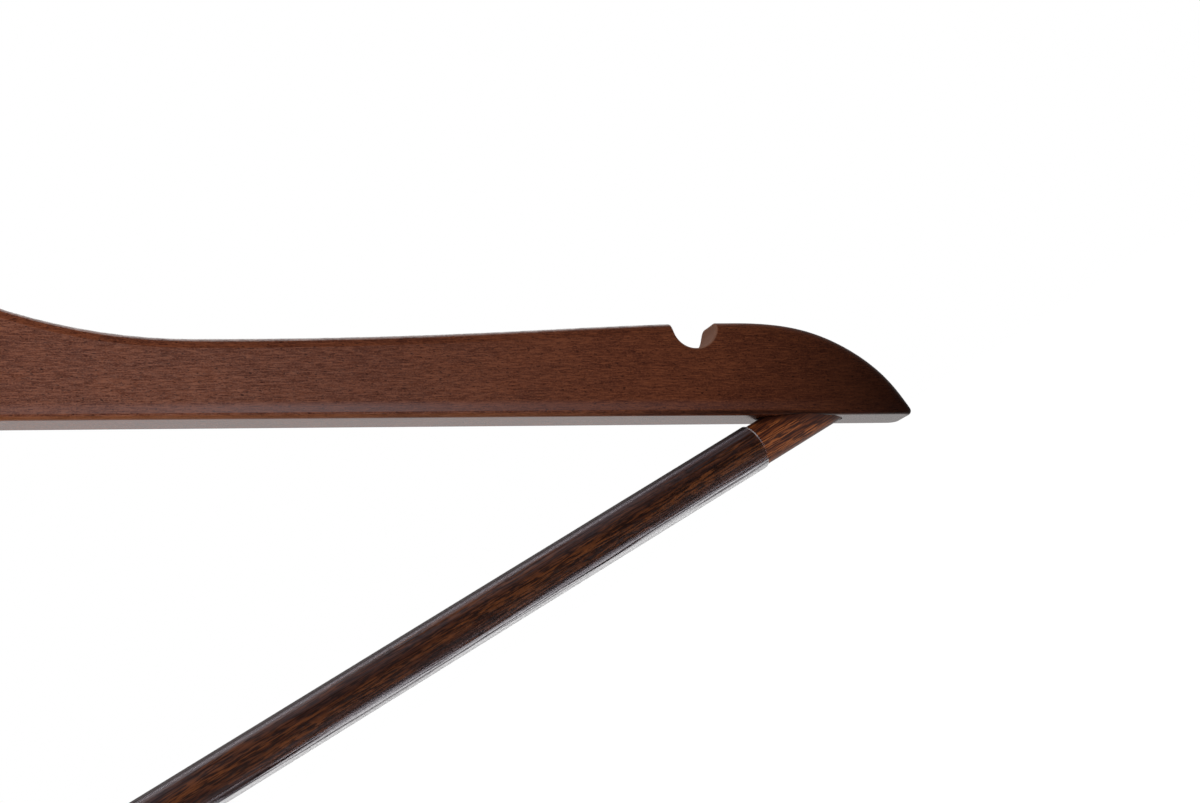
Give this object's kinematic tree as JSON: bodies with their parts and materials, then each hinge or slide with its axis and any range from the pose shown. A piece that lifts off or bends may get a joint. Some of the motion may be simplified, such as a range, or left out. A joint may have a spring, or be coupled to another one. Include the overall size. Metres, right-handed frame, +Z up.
{
  "type": "trouser hanger",
  "caption": "Flat wooden trouser hanger with finger-jointed arms, notched shoulders, a round bar in a ribbed non-slip sleeve and a swivelling wire hook.",
  "frame": {"origin": "where a closet rail bears, at the inside top of the hook", "axes": "+X along the trouser bar, +Y towards the back face, +Z up"},
  "size_m": [0.4514, 0.0126, 0.2323],
  "materials": {
    "hook_wire": "bright chrome plate on drawn steel wire",
    "bushing_metal": "turned steel, bright plated",
    "arm_wood": "red-brown stained hardwood under satin lacquer",
    "bar_wood": "stained dowel, coarse open grain",
    "sleeve_plastic": "clear soft plastic with fine lengthwise ribs",
    "brad_steel": "plain drawn steel"
  },
  "bodies": {
    "hook_body": {"hook": "hook_wire"},
    "hanger_body": {"hook_bushing": "bushing_metal", "left_arm": "arm_wood", "right_arm": "arm_wood", "trouser_bar": "bar_wood", "bar_sleeve": "sleeve_plastic", "left_brad": "brad_steel", "right_brad": "brad_steel"}
  },
  "joints": [
    {"name": "hook_swivel", "type": "hinge", "parent": "hook_body", "child": "hanger_body", "pos_m": [0, 0, -0.06746], "axis": [0, 0, 1], "continuous": true}
  ]
}
